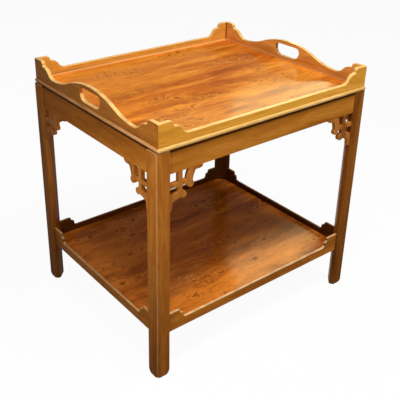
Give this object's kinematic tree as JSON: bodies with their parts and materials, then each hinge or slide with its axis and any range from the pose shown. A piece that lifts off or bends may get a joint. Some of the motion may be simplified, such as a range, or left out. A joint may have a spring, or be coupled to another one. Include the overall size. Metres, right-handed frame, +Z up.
{
  "type": "side table with lift-off tray",
  "caption": "Square-legged wooden side table with a low galleried shelf, pierced corner brackets and a galleried lift-off tray with shaped ends.",
  "frame": {"origin": "on the floor, under the middle of the table", "axes": "+X along the table to the right end of the long front, +Y from front to back, +Z up"},
  "size_m": [0.596, 0.493, 0.5985],
  "materials": {
    "frame_wood": "clear satin varnish on warm brown softwood-coloured timber",
    "fret_wood": "clear satin varnish, sawn edges darker",
    "gallery_wood": "clear gloss varnish, edges rubbed lighter",
    "bead_wood": "clear gloss varnish",
    "tray_veneer": "clear gloss varnish on streaky knotted veneer, grain along the table",
    "shelf_veneer": "clear gloss varnish on streaky knotted veneer, grain along the table",
    "inner_wood": "bare planed softwood",
    "screw_steel": "zinc-plated"
  },
  "bodies": {
    "stand": {"leg_front_left": "frame_wood", "leg_front_right": "frame_wood", "leg_back_right": "frame_wood", "leg_back_left": "frame_wood", "frieze_rail_front": "frame_wood", "frieze_rail_right": "frame_wood", "frieze_rail_back": "frame_wood", "frieze_rail_left": "frame_wood", "fret_front_left": "fret_wood", "fret_front_right": "fret_wood", "fret_right_front": "fret_wood", "fret_right_back": "fret_wood", "fret_back_right": "fret_wood", "fret_back_left": "fret_wood", "fret_left_back": "fret_wood", "fret_left_front": "fret_wood", "corner_block_front_left": "inner_wood", "corner_block_front_right": "inner_wood", "corner_block_back_right": "inner_wood", "corner_block_back_left": "inner_wood", "corner_block_screws": "screw_steel", "shelf_board": "shelf_veneer", "shelf_rail_front": "frame_wood", "shelf_rail_right": "frame_wood", "shelf_rail_back": "frame_wood", "shelf_rail_left": "frame_wood"},
    "tray": {"tray_board": "tray_veneer", "gallery_front": "gallery_wood", "gallery_right": "gallery_wood", "gallery_back": "gallery_wood", "gallery_left": "gallery_wood", "bead_front": "bead_wood", "bead_right": "bead_wood", "bead_back": "bead_wood", "bead_left": "bead_wood", "tray_batten_left": "inner_wood", "tray_batten_right": "inner_wood", "gallery_screws": "screw_steel", "batten_screws": "screw_steel"}
  },
  "joints": [
    {"name": "tray_lift", "type": "slide", "parent": "stand", "child": "tray", "axis": [0, 0, 1], "range_m": [0, 0.12]}
  ]
}
